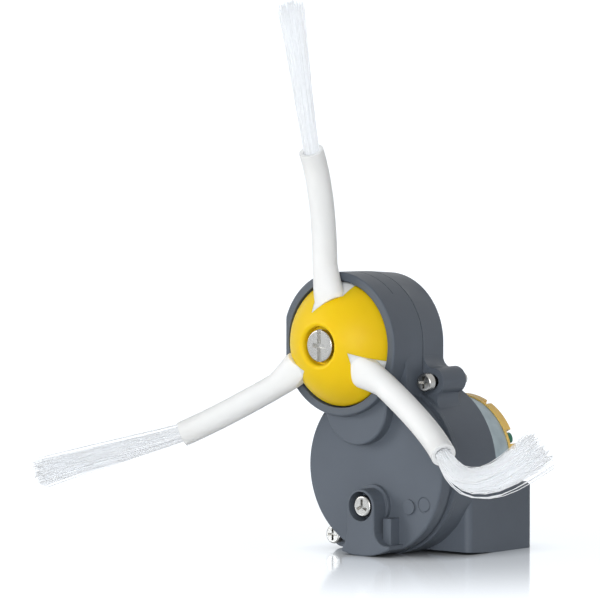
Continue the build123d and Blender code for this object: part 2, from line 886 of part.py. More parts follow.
def arm_flare(growth):
    """The arm's root, which narrows from the dome to the arm on one side."""
    return loft([
        arm_section(arm_root, arm_root_across + growth, arm_root_thickness + growth, arm_root_shift),
        arm_section(arm_rim, arm_rim_across + growth, arm_rim_thickness + growth, arm_rim_shift),
        arm_section(arm_hollow, arm_hollow_across + growth, arm_rim_thickness + growth, arm_hollow_shift),
        arm_section(arm_neck, arm_across + growth, arm_thickness + growth, 0),
    ], ruled=True)


def arm_outer():
    """The arm from its neck to its end."""
    neck = arm_section(arm_neck, arm_across, arm_thickness, 0)
    return sweep(neck, path=arm_path.trim(arm_share(arm_neck), 1))


def on_axis_rod(radius, front, back):
    return rod((0, 0), radius, front, back)


def make_hub():
    solid = dome(0) - dome(hub_wall)
    post = on_axis_rod(hub_post_radius, dome_centre_y - dome_radius, drive_end_y - rim_y)
    sockets = Part()
    pockets = Part()
    patch_shell = dome(-patch_depth) - dome(patch_depth + patch_fit)
    for index in range(arm_count):
        angle = arm_turn + 360 * index / arm_count
        sockets += swing(arm_flare(arm_socket_wall) & patch_prism(arm_socket_wall), angle)
        pockets += swing((arm_flare(patch_fit) + patch_shell) & patch_prism(patch_fit), angle)
    solid += (post + sockets) & dome(0)
    solid -= pockets
    recess = brush_screw_head_radius + recess_gap
    solid -= on_axis_rod(recess, -2 * dome_height, screw_seat_y - rim_y)
    rim = solid.edges().filter_by(GeomType.CIRCLE).sort_by(Axis.Y)
    solid = fillet([edge for edge in rim if abs(edge.radius - recess) < seat_fit][0], recess_round)
    solid -= on_axis_rod(brush_screw_shank_radius + seat_fit, screw_seat_y - rim_y, hub_skirt)
    socket = Pos(-brush[0], -brush[1]) * drive_sketch(seat_fit)
    solid -= slab(socket, shaft_front_y - rim_y, hub_skirt)
    return on_brush(solid)


def make_arm(angle):
    """A rubber arm: the part that shows on the dome, the round arm and the hole for its tuft."""
    solid = (arm_flare(0) + arm_outer() + dome(0) - dome(patch_depth)) & patch_prism(0)
    solid -= on_axis_rod(brush_screw_head_radius + recess_gap + recess_round, -2 * dome_height, hub_skirt)
    end = arm_path @ 1
    way = arm_path % 1
    hole = Plane(origin=end - way * tuft_hold, z_dir=way) * Circle(tuft_root_radius + seat_fit)
    solid -= extrude(hole, 2 * tuft_hold)
    return on_brush(swing(solid, angle))


def star(radius, depth):
    """A round bundle whose edge is grooved between its locks."""
    points = []
    for index in range(2 * tuft_lobes):
        reach = radius if index % 2 == 0 else radius - depth
        angle = pi * index / tuft_lobes
        points.append((reach * cos(angle), reach * sin(angle)))
    return polygon(*points)


def tuft_sections(planes):
    """Grooved rounds that widen from the arm to the tip."""
    last = len(planes) - 1
    sections = []
    for index, plane in enumerate(planes):
        share = index / last
        radius = tuft_root_radius + (tuft_tip_radius - tuft_root_radius) * share
        depth = tuft_root_lobe_depth + (tuft_lobe_depth - tuft_root_lobe_depth) * share
        sections.append(plane * star(radius, depth))
    return sections


def make_straight_tuft(angle, reach, drop, side):
    end = arm_path @ 1
    start = end - arm_path % 1 * tuft_hold
    tip = Vector(reach, -drop, side)
    hold = Plane(origin=start, x_dir=(0, 0, 1), z_dir=arm_path % 1)
    leave = Plane(origin=end, x_dir=(0, 0, 1), z_dir=arm_path % 1)
    out = Plane(origin=tip, x_dir=(0, 0, 1), z_dir=(tip - end).normalized())
    root = extrude(hold * star(tuft_root_radius, tuft_root_lobe_depth), tuft_hold)
    brush_out = loft(tuft_sections([leave, out]), ruled=True)
    return on_brush(swing(root + brush_out, angle))


def make_bent_tuft(angle):
    """A tuft that has kept the set of a bend, sideways and back from its arm's line."""
    end = arm_path @ 1
    way = arm_path % 1
    lean = radians(tuft_bend_lean_angle)
    aside_way = Vector(0, 0, cos(lean)) + Vector(-way.Y, way.X, 0) * sin(lean)
    across = way.cross(aside_way)
    planes = [Plane(origin=end, x_dir=across, z_dir=way)]
    for index in range(tuft_bend_steps):
        bend = radians(tuft_bend_angle) * index / (tuft_bend_steps - 1)
        along_arm = tuft_bend_start + tuft_bend_radius * sin(bend)
        place = end + way * along_arm + aside_way * tuft_bend_radius * (1 - cos(bend))
        out = way * cos(bend) + aside_way * sin(bend)
        planes.append(Plane(origin=place, x_dir=across, z_dir=out))
    planes.append(Plane(origin=place + out * tuft_bend_tail, x_dir=across, z_dir=out))
    root = extrude(planes[0] * star(tuft_root_radius, tuft_root_lobe_depth), -tuft_hold)
    return on_brush(swing(root + loft(tuft_sections(planes), ruled=True), angle))


# Nodes
def save(name, solids):
    pieces = list(solids) if isinstance(solids, (list, tuple)) else [solids]
    shape = pieces[0] if len(pieces) == 1 else Compound(children=pieces)
    export_step(shape, f"parts/{name}.step")


os.makedirs("parts", exist_ok=True)
save("front_housing", make_front_housing())
save("rear_housing", make_rear_housing())
save("chassis_screws", make_chassis_screws())
save("case_screw", make_case_screw())
save("motor_can", make_motor_can())
save("flux_band", make_flux_band())
save("motor_end_cap", make_motor_end_cap())
save("motor_terminals", make_motor_terminals())
save("suppressor", make_suppressor())
save("magnets", make_magnets())
save("carbon_brushes", make_carbon_brushes())
save("front_motor_bush", make_motor_bush(nose_y, can_inside_y))
save("rear_motor_bush", make_motor_bush(cap_face_y, cap_end_y))
save("motor_screws", make_motor_screws())
save("contact_blades", make_contact_blades())
save("motor_shaft", make_motor_shaft())
save("motor_pinion", make_motor_pinion())
save("armature_core", make_armature_core())
save("windings", make_windings())
save("commutator", make_commutator())
save("idler_gear_a", make_idler_a())
save("idler_gear_b", make_idler_b())
save("idler_pins", make_idler_pins())
save("output_gear", make_output_gear())
save("output_bush", make_output_bush())
save("shaft_seal", make_shaft_seal())
save("hub", make_hub())
save("brush_screw", make_brush_screw())
for number in range(arm_count):
    save(f"arm_{number + 1}", make_arm(arm_turn + 360 * number / arm_count))
save("tuft_1", make_straight_tuft(arm_turn, tuft_top_reach, tuft_top_drop, tuft_top_side))
left_turn = arm_turn + 360 / arm_count
save("tuft_2", make_straight_tuft(left_turn, tuft_left_reach, tuft_left_drop, tuft_left_side))
save("tuft_3", make_bent_tuft(arm_turn + 720 / arm_count))
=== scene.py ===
# %% [markdown]
# # A side brush module from a robot vacuum
# The real object is a grey gear case with a small motor behind it. A yellow dome sits in a cup on its front,
# and three white rubber arms with nylon bristles stand out from the dome and sweep dust to the machine's
# middle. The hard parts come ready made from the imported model, so this lesson starts by loading that model
# as a fixed frame. Everything that follows is finish, or is made to sit on these solids.

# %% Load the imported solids
import bmesh
import bpy
import json
import math
import random
from mathutils import Matrix, Vector


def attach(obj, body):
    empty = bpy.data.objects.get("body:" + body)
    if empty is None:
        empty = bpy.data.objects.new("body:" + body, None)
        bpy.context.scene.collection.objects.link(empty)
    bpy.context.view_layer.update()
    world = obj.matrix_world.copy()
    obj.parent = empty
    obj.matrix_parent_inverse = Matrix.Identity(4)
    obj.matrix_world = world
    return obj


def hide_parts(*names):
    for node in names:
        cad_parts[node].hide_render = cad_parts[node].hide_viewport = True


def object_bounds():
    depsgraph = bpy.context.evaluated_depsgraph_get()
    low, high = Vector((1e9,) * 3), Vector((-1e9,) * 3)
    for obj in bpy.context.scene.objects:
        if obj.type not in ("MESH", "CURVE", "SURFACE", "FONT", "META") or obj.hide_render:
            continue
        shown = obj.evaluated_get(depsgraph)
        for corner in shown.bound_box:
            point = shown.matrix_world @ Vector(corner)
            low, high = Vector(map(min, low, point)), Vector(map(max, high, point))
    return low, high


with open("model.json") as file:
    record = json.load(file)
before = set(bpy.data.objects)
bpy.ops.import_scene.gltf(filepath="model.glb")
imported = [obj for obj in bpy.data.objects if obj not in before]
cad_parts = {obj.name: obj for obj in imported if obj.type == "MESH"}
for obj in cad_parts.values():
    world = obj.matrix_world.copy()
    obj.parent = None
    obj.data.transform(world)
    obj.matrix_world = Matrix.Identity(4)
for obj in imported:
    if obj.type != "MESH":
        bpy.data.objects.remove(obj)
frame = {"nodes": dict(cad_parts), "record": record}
cad_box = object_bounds()
print("solids:", len(frame["nodes"]), "box:", cad_box)

# %% [markdown]
# ## Where the brush turns
# Arms and bristles are easiest to describe from the brush's own axis: how far out, at what angle, and how
# far in front of the cup's rim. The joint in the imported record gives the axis, so nothing has to be typed
# twice. Angles run anticlockwise as seen from the front.

# %% Work in millimetres from the brush's axis
MM = 0.001
CUP_RIM_Y = -30.75 * MM
FIRST_ARM = 87.7
ARM_STEP = 120.0

joints = {joint["name"]: joint for joint in frame["record"]["behaviour"]["joints"]}
axis_place = Vector(joints["brush_spin"]["pos_m"])
brush_centre = Vector((axis_place.x, CUP_RIM_Y, axis_place.z))


def arm_axes(angle):
    """The way out along an arm, and the way sideways from it, anticlockwise."""
    turn = math.radians(angle)
    outward = Vector((math.cos(turn), 0, math.sin(turn)))
    sideways = Vector((-math.sin(turn), 0, math.cos(turn)))
    return outward, sideways


def brush_point(angle, reach, drop, side=0.0):
    """A point on the brush, from millimetres out, in front of the rim and to the side of an arm."""
    outward, sideways = arm_axes(angle)
    return brush_centre + (outward * reach + sideways * side + Vector((0, -drop, 0))) * MM


print("brush axis:", tuple(round(value, 4) for value in brush_centre))

# %% [markdown]
# ## Camera
# The photograph was taken from about 40 degrees to the right and a little above, with a long lens, so the
# circles of the case keep nearly the same size front and back. A camera can be aimed with a Track To
# constraint, but its own axes written as a matrix are exact and need no helper object.

# %% Stand the camera where the photograph was taken
VIEW_AZIMUTH = math.radians(39.83)
VIEW_ELEVATION = math.radians(4.56)
VIEW_DISTANCE = 2000 * MM
VIEW_LENS = 476.3
SENSOR_WIDTH = 36.0
AIM_LEFT = 9.574 * MM
AIM_UP = 11.086 * MM

view_right = Vector((math.cos(VIEW_AZIMUTH), math.sin(VIEW_AZIMUTH), 0))
view_forward = Vector((
    -math.sin(VIEW_AZIMUTH) * math.cos(VIEW_ELEVATION),
    math.cos(VIEW_AZIMUTH) * math.cos(VIEW_ELEVATION),
    -math.sin(VIEW_ELEVATION),
))
view_up = view_right.cross(view_forward)
eye = brush_centre - view_right * AIM_LEFT + view_up * AIM_UP - view_forward * VIEW_DISTANCE

camera_data = bpy.data.cameras.new("photo_camera")
camera_data.lens = VIEW_LENS
camera_data.sensor_width = SENSOR_WIDTH
camera = bpy.data.objects.new("photo_camera", camera_data)
camera.matrix_world = Matrix((view_right, view_up, -view_forward)).transposed().to_4x4()
camera.location = eye
bpy.context.collection.objects.link(camera)
bpy.context.scene.camera = camera
bpy.context.scene.view_settings.view_transform = "Standard"
print("camera at", tuple(round(value, 3) for value in eye))

# %% [markdown]
# ## Shared surface effects
# Moulded plastic, rubber and plated steel are never quite even. Two effects serve all the finishes here:
# a fine grain that catches the light, and a slow drift of tone. Each is built once as a node group with
# its own inputs and placed in the materials with different values. Both read Object coordinates, so they
# stay put on a piece when the brush turns. The grain comes first: fine noise laid over coarser noise.

# %% Build the grain as a node group
GRAIN_FINE = 2600.0
GRAIN_COARSE = 420.0


def new_group(name, inputs, outputs):
    """An empty shader group with named sockets, and its two end nodes."""
    group = bpy.data.node_groups.new(name, "ShaderNodeTree")
    for label, kind, value in inputs:
        socket = group.interface.new_socket(name=label, in_out="INPUT", socket_type=kind)
        if value is not None:
            socket.default_value = value
    for label, kind in outputs:
        group.interface.new_socket(name=label, in_out="OUTPUT", socket_type=kind)
    return group, group.nodes.new("NodeGroupInput"), group.nodes.new("NodeGroupOutput")


def build_grain_group():
    """Fine noise over coarser noise, as a height for bump and a mask for gloss."""
    group, start, end = new_group(
        "moulded_grain",
        [("Vector", "NodeSocketVector", None), ("Fine", "NodeSocketFloat", GRAIN_FINE),
         ("Coarse", "NodeSocketFloat", GRAIN_COARSE), ("Low Gloss", "NodeSocketFloat", None),
         ("High Gloss", "NodeSocketFloat", None)],
        [("Height", "NodeSocketFloat"), ("Roughness", "NodeSocketFloat")],
    )
    link = group.links.new
    fine = group.nodes.new("ShaderNodeTexNoise")
    coarse = group.nodes.new("ShaderNodeTexNoise")
    for noise, scale in ((fine, "Fine"), (coarse, "Coarse")):
        link(start.outputs["Vector"], noise.inputs["Vector"])
        link(start.outputs[scale], noise.inputs["Scale"])
    both = group.nodes.new("ShaderNodeMath")
    both.operation = "ADD"
    link(fine.outputs["Fac"], both.inputs[0])
    link(coarse.outputs["Fac"], both.inputs[1])
    gloss = group.nodes.new("ShaderNodeMapRange")
    link(coarse.outputs["Fac"], gloss.inputs["Value"])
    link(start.outputs["Low Gloss"], gloss.inputs["To Min"])
    link(start.outputs["High Gloss"], gloss.inputs["To Max"])
    link(both.outputs[0], end.inputs["Height"])
    link(gloss.outputs["Result"], end.inputs["Roughness"])
    return group


grain_group = build_grain_group()
print("group:", grain_group.name, "nodes:", len(grain_group.nodes))

# %% [markdown]
# The drift is slow noise between two tones. Noise seldom comes near 0 or 1, so the middle of its range is
# stretched until both tones show. A Color Ramp could do the same, but its stops can't be group inputs.

# %% Build the drift as a node group
DRIFT_DETAIL = 3.0
DRIFT_RANGE = (0.3, 0.7)


def build_drift_group():
    """A slow change from one tone to another across a piece."""
    group, start, end = new_group(
        "tone_drift",
        [("Vector", "NodeSocketVector", None), ("Scale", "NodeSocketFloat", None),
         ("Tone A", "NodeSocketColor", None), ("Tone B", "NodeSocketColor", None)],
        [("Color", "NodeSocketColor")],
    )
    link = group.links.new
    noise = group.nodes.new("ShaderNodeTexNoise")
    noise.inputs["Detail"].default_value = DRIFT_DETAIL
    link(start.outputs["Vector"], noise.inputs["Vector"])
    link(start.outputs["Scale"], noise.inputs["Scale"])
    spread = group.nodes.new("ShaderNodeMapRange")
    spread.inputs["From Min"].default_value = DRIFT_RANGE[0]
    spread.inputs["From Max"].default_value = DRIFT_RANGE[1]
    link(noise.outputs["Fac"], spread.inputs["Value"])
    mix = group.nodes.new("ShaderNodeMix")
    mix.data_type = "RGBA"
    link(spread.outputs["Result"], mix.inputs["Factor"])
    link(start.outputs["Tone A"], mix.inputs["A"])
    link(start.outputs["Tone B"], mix.inputs["B"])
    link(mix.outputs["Result"], end.inputs["Color"])
    return group


drift_group = build_drift_group()
print("group:", drift_group.name, "nodes:", len(drift_group.nodes))

# %% [markdown]
# ## Finishes
# Every finish here is a Principled shader with the drift on its colour, and the grain on its roughness and
# bump. What tells satin case plastic from rubber or bright plate is mostly the range of the roughness and
# the strength of the bump, so one function takes those values and each finish is one call.
# The case's edges are rounded a little by a Bevel node, which catches light as a moulded edge does.
# Rubber, nylon and the dome let some light in and scatter it under the surface. Colours are written in
# linear light, and depths and edges in millimetres.

# %% Write the function for a finish
SCATTER_SHARE = 0.6
SCATTER_RADII = (1.0, 1.0, 1.0)
GRAIN_HEIGHT = 0.02 * MM


def shade(color, factor):
    """A colour made lighter or darker, with its alpha kept."""
    return tuple(channel * factor for channel in color) + (1.0,)


def finish(name, color, gloss, drift=0.05, drift_scale=60.0, bump=0.1, metal=0.0, shine=0.3, edge=0.0,
           depth=0.0):
    """A Principled material with drifting tone and moulded grain, and soft edges or scatter if given."""
    material = bpy.data.materials.new(name)
    material.use_nodes = True
    nodes = material.node_tree.nodes
    link = material.node_tree.links.new
    shader = nodes["Principled BSDF"]
    shader.inputs["Metallic"].default_value = metal
    shader.inputs["Specular IOR Level"].default_value = shine
    if depth > 0:
        shader.inputs["Subsurface Weight"].default_value = SCATTER_SHARE
        shader.inputs["Subsurface Radius"].default_value = SCATTER_RADII
        shader.inputs["Subsurface Scale"].default_value = depth * MM
    coords = nodes.new("ShaderNodeTexCoord")
    tone = nodes.new("ShaderNodeGroup")
    tone.node_tree = drift_group
    tone.inputs["Scale"].default_value = drift_scale
    tone.inputs["Tone A"].default_value = shade(color, 1 - drift)
    tone.inputs["Tone B"].default_value = shade(color, 1 + drift)
    link(coords.outputs["Object"], tone.inputs["Vector"])
    link(tone.outputs["Color"], shader.inputs["Base Color"])
    grain = nodes.new("ShaderNodeGroup")
    grain.node_tree = grain_group
    grain.inputs["Low Gloss"].default_value = gloss[0]
    grain.inputs["High Gloss"].default_value = gloss[1]
    link(coords.outputs["Object"], grain.inputs["Vector"])
    link(grain.outputs["Roughness"], shader.inputs["Roughness"])
    relief = nodes.new("ShaderNodeBump")
    relief.inputs["Strength"].default_value = bump
    relief.inputs["Distance"].default_value = GRAIN_HEIGHT
    link(grain.outputs["Height"], relief.inputs["Height"])
    if edge > 0:
        soft_edge = nodes.new("ShaderNodeBevel")
        soft_edge.inputs["Radius"].default_value = edge * MM
        link(soft_edge.outputs["Normal"], relief.inputs["Normal"])
    link(relief.outputs["Normal"], shader.inputs["Normal"])
    return material


print("grain height:", GRAIN_HEIGHT, "m")

# %% [markdown]
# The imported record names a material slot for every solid. The finishes carry the same names, so each solid
# finds its own by looking up its slot, and the pieces inside the case get a finish as well.

# %% Make one finish per material slot
finishes = {
    "case_plastic": finish("case_plastic", (0.110, 0.129, 0.157), (0.38, 0.5), bump=0.5, shine=0.2,
                           edge=0.3),
    "screw_nickel": finish("screw_nickel", (0.37, 0.365, 0.35), (0.2, 0.34), bump=0.2, metal=1.0),
    "can_zinc": finish("can_zinc", (0.29, 0.345, 0.37), (0.38, 0.55), drift=0.12, drift_scale=300.0,
                       metal=1.0),
    "band_black": finish("band_black", (0.055, 0.057, 0.06), (0.3, 0.42), bump=0.3),
    "cap_amber": finish("cap_amber", (1.0, 0.66, 0.17), (0.3, 0.45)),
    "contact_brass": finish("contact_brass", (0.78, 0.58, 0.26), (0.22, 0.36), metal=1.0),
    "suppressor_green": finish("suppressor_green", (0.015, 0.17, 0.10), (0.2, 0.3)),
    "magnet_ferrite": finish("magnet_ferrite", (0.02, 0.02, 0.022), (0.55, 0.7)),
    "carbon": finish("carbon", (0.015, 0.015, 0.016), (0.6, 0.75)),
    "bush_bronze": finish("bush_bronze", (0.6, 0.42, 0.2), (0.35, 0.5), metal=1.0),
    "pin_steel": finish("pin_steel", (0.55, 0.56, 0.58), (0.25, 0.38), metal=1.0),
    "winding_copper": finish("winding_copper", (0.66, 0.28, 0.12), (0.3, 0.45), metal=1.0),
    "gear_plastic": finish("gear_plastic", (0.76, 0.74, 0.66), (0.4, 0.5)),
    "seal_rubber": finish("seal_rubber", (0.015, 0.015, 0.015), (0.6, 0.75)),
    "hub_yellow": finish("hub_yellow", (0.90, 0.615, 0.006), (0.42, 0.52), drift=0.03, bump=0.15,
                         shine=0.2, depth=1.2),
    "arm_rubber": finish("arm_rubber", (0.90, 0.92, 0.925), (0.45, 0.6), drift=0.02, bump=0.25,
                         depth=1.5),
    "bristle_nylon": finish("bristle_nylon", (0.85, 0.875, 0.905), (0.4, 0.55), drift=0.02,
                            drift_scale=900.0, depth=0.3),
}
slot_of = {part["node"]: part["material_slot"] for part in frame["record"]["subparts"]}
for node, piece in frame["nodes"].items():
    piece.material_slots[0].material = finishes[slot_of[node]]
print("finishes:", len(finishes), "nodes finished:", len(frame["nodes"]))

# %% [markdown]
# ## Bristles
# Each tuft is a few hundred nylon filaments gripped by the end of a rubber arm. A solid can only show the
# bundle, so here every filament is its own thin curve with a four-sided bevel, which is far lighter than
# a modelled tube. The filaments start side by side inside the arm, spread towards their tips, and end
# unevenly. First come the lines that the tufts follow: two are straight, and one keeps a lasting bend.

# %% Lay the lines that the tufts follow
ARM_END = Vector((49.2, 10.6, 2.0))
ARM_WAY = Vector((13.7, 7.4, 0.0)).normalized()
TUFT_HOLD = 2.6
TOP_TIP = Vector((85.6, 20.2, 2.0))
LEFT_TIP = Vector((84.0, 27.0, -4.0))
BEND_START = 6.3
BEND_RADIUS = 16.2
BEND_ANGLE = math.radians(90.0)
BEND_LEAN = math.radians(26.0)
BEND_TAIL = 6.1
STRAIGHT_SHARES = (0.0, 0.35, 0.7, 1.0)
BEND_SHARES = (0.33, 0.67, 1.0)


def straight_line(tip):
    """From inside the arm's end straight out to the tuft's tip, as reach, drop and side."""
    return [ARM_END - ARM_WAY * TUFT_HOLD] + [ARM_END.lerp(tip, share) for share in STRAIGHT_SHARES]


def bent_line():
    """From inside the arm's end round a lasting bend to the side, and straight on to the tip."""
    back_way = Vector((ARM_WAY.y, -ARM_WAY.x, 0.0))
    aside = Vector((0, 0, math.cos(BEND_LEAN))) + back_way * math.sin(BEND_LEAN)
    line = [ARM_END + ARM_WAY * along for along in (-TUFT_HOLD, 0.0, BEND_START)]
    for share in BEND_SHARES:
        bend = BEND_ANGLE * share
        along = BEND_START + BEND_RADIUS * math.sin(bend)
        line.append(ARM_END + ARM_WAY * along + aside * BEND_RADIUS * (1 - math.cos(bend)))
    out = ARM_WAY * math.cos(BEND_ANGLE) + aside * math.sin(BEND_ANGLE)
    return line + [line[-1] + out * BEND_TAIL]


def tuft_line(index, places):
    """Places on an arm, turned into points of the model."""
    return [brush_point(FIRST_ARM + index * ARM_STEP, *place) for place in places]


tuft_lines = {
    "tuft_1": tuft_line(0, straight_line(TOP_TIP)),
    "tuft_2": tuft_line(1, straight_line(LEFT_TIP)),
    "tuft_3": tuft_line(2, bent_line()),
}
print("tuft lines:", {name: len(line) for name, line in tuft_lines.items()})

# %% [markdown]
# A strand keeps its own spot in the bundle from the arm to the tip. The bundle widens on the way, and each
# strand wanders a little more the further out it gets. A smooth spline led by a few points is enough for
# that, and a particle system would be harder to aim. A seeded random generator keeps the same strands at
# every run.

# %% Describe one strand
ROOT_RADIUS = 1.95 * MM
TIP_THINNING = 0.55
TIP_SCATTER = 0.4 * MM
TIP_UNEVEN = 1.6 * MM
STRAND_ORDER = 3
SEED = 7
draw = random.Random(SEED)


def disc_point():
    """A random place in a unit circle, evenly spread."""
    angle = draw.uniform(0, 2 * math.pi)
    reach = math.sqrt(draw.random())
    return reach * math.cos(angle), reach * math.sin(angle)


def add_strand(curve, line, tip_radius, spot, scale):
    """One spline that keeps its spot in the bundle from the arm to the tip."""
    last = len(line) - 1
    spline = curve.splines.new("NURBS")
    spline.points.add(last)
    for index, place in enumerate(line):
        share = max(0.0, (index - 1) / (last - 1))
        before, after = line[max(index - 1, 0)], line[min(index + 1, last)]
        way = (after - before).normalized()
        across = way.cross(Vector((0, 1, 0))).normalized()
        deep = across.cross(way)
        radius = ROOT_RADIUS + (tip_radius - ROOT_RADIUS) * share
        scatter = TIP_SCATTER * share
        point = place + across * (spot[0] * radius + draw.gauss(0, scatter))
        point += deep * (spot[1] * radius + draw.gauss(0, scatter))
        if index == last:
            point += way * draw.uniform(-TIP_UNEVEN, TIP_UNEVEN)
        spline.points[index].co = (*point, 1.0)
        spline.points[index].radius = scale * (1 - TIP_THINNING * share)
    spline.order_u = STRAND_ORDER
    spline.use_endpoint_u = True


print("strand: order", STRAND_ORDER, "from", ROOT_RADIUS, "m bundle radius")

# %% [markdown]
# Forty thick locks fill the middle of each tuft and close it to the eye, and a few hundred fine filaments
# make its skin and its uneven end. A few strays stand off from two of the tufts. All strands of a tuft are
# splines of one curve object, which takes the place of the tuft's solid and turns with the brush. Nylon
# lets light through, so the strands cast no shadow.

# %% Grow the tufts along the lines
FILAMENTS = 280
FILAMENT_RADIUS = 0.085 * MM
STRAND_STEPS = 2
LOCKS = 40
LOCK_SCALE = 4.0
LOCK_CORE = 0.85
TIP_RADIUS = {"tuft_1": 3.1 * MM, "tuft_2": 3.3 * MM, "tuft_3": 4.8 * MM}
STRAYS = {
    "tuft_2": ((0.2, 1.3), (-1.3, 0.2)),
    "tuft_3": ((-1.32, 0.1), (-1.36, 0.25), (-1.3, -0.1)),
}
STRAY_SCALE = 2.0


def grow_tuft(name, line):
    """A curve object with thick locks in its middle, fine filaments all over and its strays."""
    curve = bpy.data.curves.new(name + "_bristles", "CURVE")
    curve.dimensions = "3D"
    curve.bevel_depth = FILAMENT_RADIUS
    curve.bevel_resolution = 0
    curve.resolution_u = STRAND_STEPS
    for lock in range(LOCKS):
        right, front = disc_point()
        spot = (right * LOCK_CORE, front * LOCK_CORE)
        add_strand(curve, line, TIP_RADIUS[name], spot, LOCK_SCALE)
    for filament in range(FILAMENTS):
        add_strand(curve, line, TIP_RADIUS[name], disc_point(), 1.0)
    for spot in STRAYS.get(name, ()):
        add_strand(curve, line, TIP_RADIUS[name], spot, STRAY_SCALE)
    piece = bpy.data.objects.new(name + "_bristles", curve)
    bpy.context.collection.objects.link(piece)
    piece.visible_shadow = False
    curve.materials.append(finishes["bristle_nylon"])
    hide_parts(name)
    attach(piece, "brush")


for name, line in tuft_lines.items():
    grow_tuft(name, line)
print("strands:", (LOCKS + FILAMENTS) * len(tuft_lines) + sum(map(len, STRAYS.values())))

# %% [markdown]
# ## Web of the right ear
# The ear for the right chassis screw is no bare tube: its plastic flows in two hollow curves into the cup's
# wall above it and into the drum below. Each curve is an arc, so one vertex spun about the arc's centre
# draws it exactly, which is lighter than a boolean cut. The outline passes round the screw's hole, and the
# rest of it is hidden in the walls. The ends of its three arcs count from 0 to 5 and its hidden corners
# from 6 to 8, and the links join them by these numbers.

# %% Draw the web's outline
EAR = Vector((13.3, 0, 44.0)) * MM
DRUM_AXIS = Vector((0.0, 0, 21.6)) * MM
DRUM_RADIUS = 21.95 * MM
WEB_ROUND = 3.0 * MM
WEB_INSIDE = 2.4 * MM
WALL_BURY = 0.8 * MM
NECK_DROP = 3.5 * MM
WEB_STEPS = 10
WEB_LINKS = ((1, 2), (3, 4), (5, 6), (6, 7), (7, 8), (8, 0))


def heading(start, end):
    """The angle from one point to another, anticlockwise as seen from the front."""
    return math.atan2(end.z - start.z, end.x - start.x)


def on_circle(centre, radius, angle):
    """A point on a circle that faces the front."""
    return centre + Vector((math.cos(angle), 0, math.sin(angle))) * radius


def add_arc(shape, centre, radius, start, end):
    """Spins one vertex anticlockwise from an angle to another and gives the arc's two ends."""
    turn = (end - start) % (2 * math.pi)
    first = bmesh.ops.create_vert(shape, co=on_circle(centre, radius, start))["vert"][0]
    spun = bmesh.ops.spin(shape, geom=[first], cent=centre, axis=(0, -1, 0), angle=turn, steps=WEB_STEPS)
    last = [item for item in spun["geom_last"] if isinstance(item, bmesh.types.BMVert)][0]
    return first, last


def web_outline(shape, y, ear_radius, wall_x):
    """A closed line at one depth: three arcs from the cup's wall to the drum, then three hidden corners."""
    depth = Vector((0, y, 0))
    ear, drum = EAR + depth, DRUM_AXIS + depth
    reach = ear_radius + WEB_ROUND
    across = wall_x + WEB_ROUND - ear.x
    upper = ear + Vector((across, 0, math.sqrt(reach ** 2 - across ** 2)))
    span = (drum - ear).length
    cosine = (span ** 2 + reach ** 2 - (DRUM_RADIUS + WEB_ROUND) ** 2) / (2 * span * reach)
    lower = on_circle(ear, reach, heading(ear, drum) + math.acos(cosine))
    arcs = [
        add_arc(shape, upper, WEB_ROUND, math.pi, heading(upper, ear)),
        add_arc(shape, ear, WEB_INSIDE, heading(ear, upper), heading(ear, lower)),
        add_arc(shape, lower, WEB_ROUND, heading(lower, ear), heading(lower, drum)),
    ]
    corners = [
        on_circle(drum, DRUM_RADIUS - WALL_BURY, heading(drum, lower)),
        Vector((wall_x - WALL_BURY, y, ear.z - NECK_DROP)),
        Vector((wall_x - WALL_BURY, y, upper.z)),
    ]
    hidden = [bmesh.ops.create_vert(shape, co=corner)["vert"][0] for corner in corners]
    ends = [end for arc in arcs for end in arc] + hidden
    for start, end in WEB_LINKS:
        shape.edges.new((ends[start], ends[end]))


print("web outline: 3 arcs of", WEB_STEPS, "steps and", len(WEB_LINKS), "links")

# %% [markdown]
# The walls taper for the mould, so the web is an outline at the front and a smaller one at the rear, with
# the side between them bridged and both ends filled. An extrusion would keep one width all the way.

# %% Bridge two outlines into the web
WEB_FRONT = {"y": -18.3 * MM, "ear_radius": 3.4 * MM, "wall_x": 10.15 * MM}
WEB_REAR = {"y": -9.5 * MM, "ear_radius": 2.95 * MM, "wall_x": 9.3 * MM}


def build_web():
    """Bridges the two outlines, closes both ends and hangs the web on the case."""
    shape = bmesh.new()
    web_outline(shape, **WEB_FRONT)
    front = list(shape.edges)
    web_outline(shape, **WEB_REAR)
    rear = [edge for edge in shape.edges if edge not in front]
    bmesh.ops.bridge_loops(shape, edges=front + rear)
    for loop in (front, rear):
        bmesh.ops.edgeloop_fill(shape, edges=loop)
    bmesh.ops.recalc_face_normals(shape, faces=shape.faces)
    mesh = bpy.data.meshes.new("ear_web")
    shape.to_mesh(mesh)
    open_edges = sum(1 for edge in shape.edges if not edge.is_manifold)
    print("web faces:", len(shape.faces), "open edges:", open_edges)
    shape.free()
    mesh.materials.append(finishes["case_plastic"])
    piece = bpy.data.objects.new("ear_web", mesh)
    bpy.context.collection.objects.link(piece)
    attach(piece, "case")


build_web()

# %% [markdown]
# ## Floor
# The module stands on a glossy white sheet, which mirrors it faintly close to its foot and runs into the
# white room without an edge. The sheet is one large face. Near the module its diffuse shader keeps the
# shadow, and some glow towards the eye lifts it to white. Ambient occlusion dims that glow right under the
# module, which paints a dark contact shade there. Further out the glow takes over. A mirror that fades with
# the distance lies over both. The sheet belongs to the stage, not to the object.

# %% Mix the sheet's surface
FLOOR_WHITE = (0.92, 0.92, 0.92, 1.0)
NEAR_GLOW = 0.92
FAR_GLOW = 1.0
GLOW_COLOR = (1.15, 1.2, 1.26, 1.0)
GLOW_REACH = (0.07, 0.3)
NEAR_MIRROR = 0.68
FAR_MIRROR = 0.0
MIRROR_REACH = (0.015, 0.15)
MIRROR_TINT = (0.93, 0.965, 1.0, 1.0)
MIRROR_ROUGHNESS = 0.1
# How far from the module the painted contact shade on the sheet reaches.
PAINTED_SHADE_REACH = 0.012


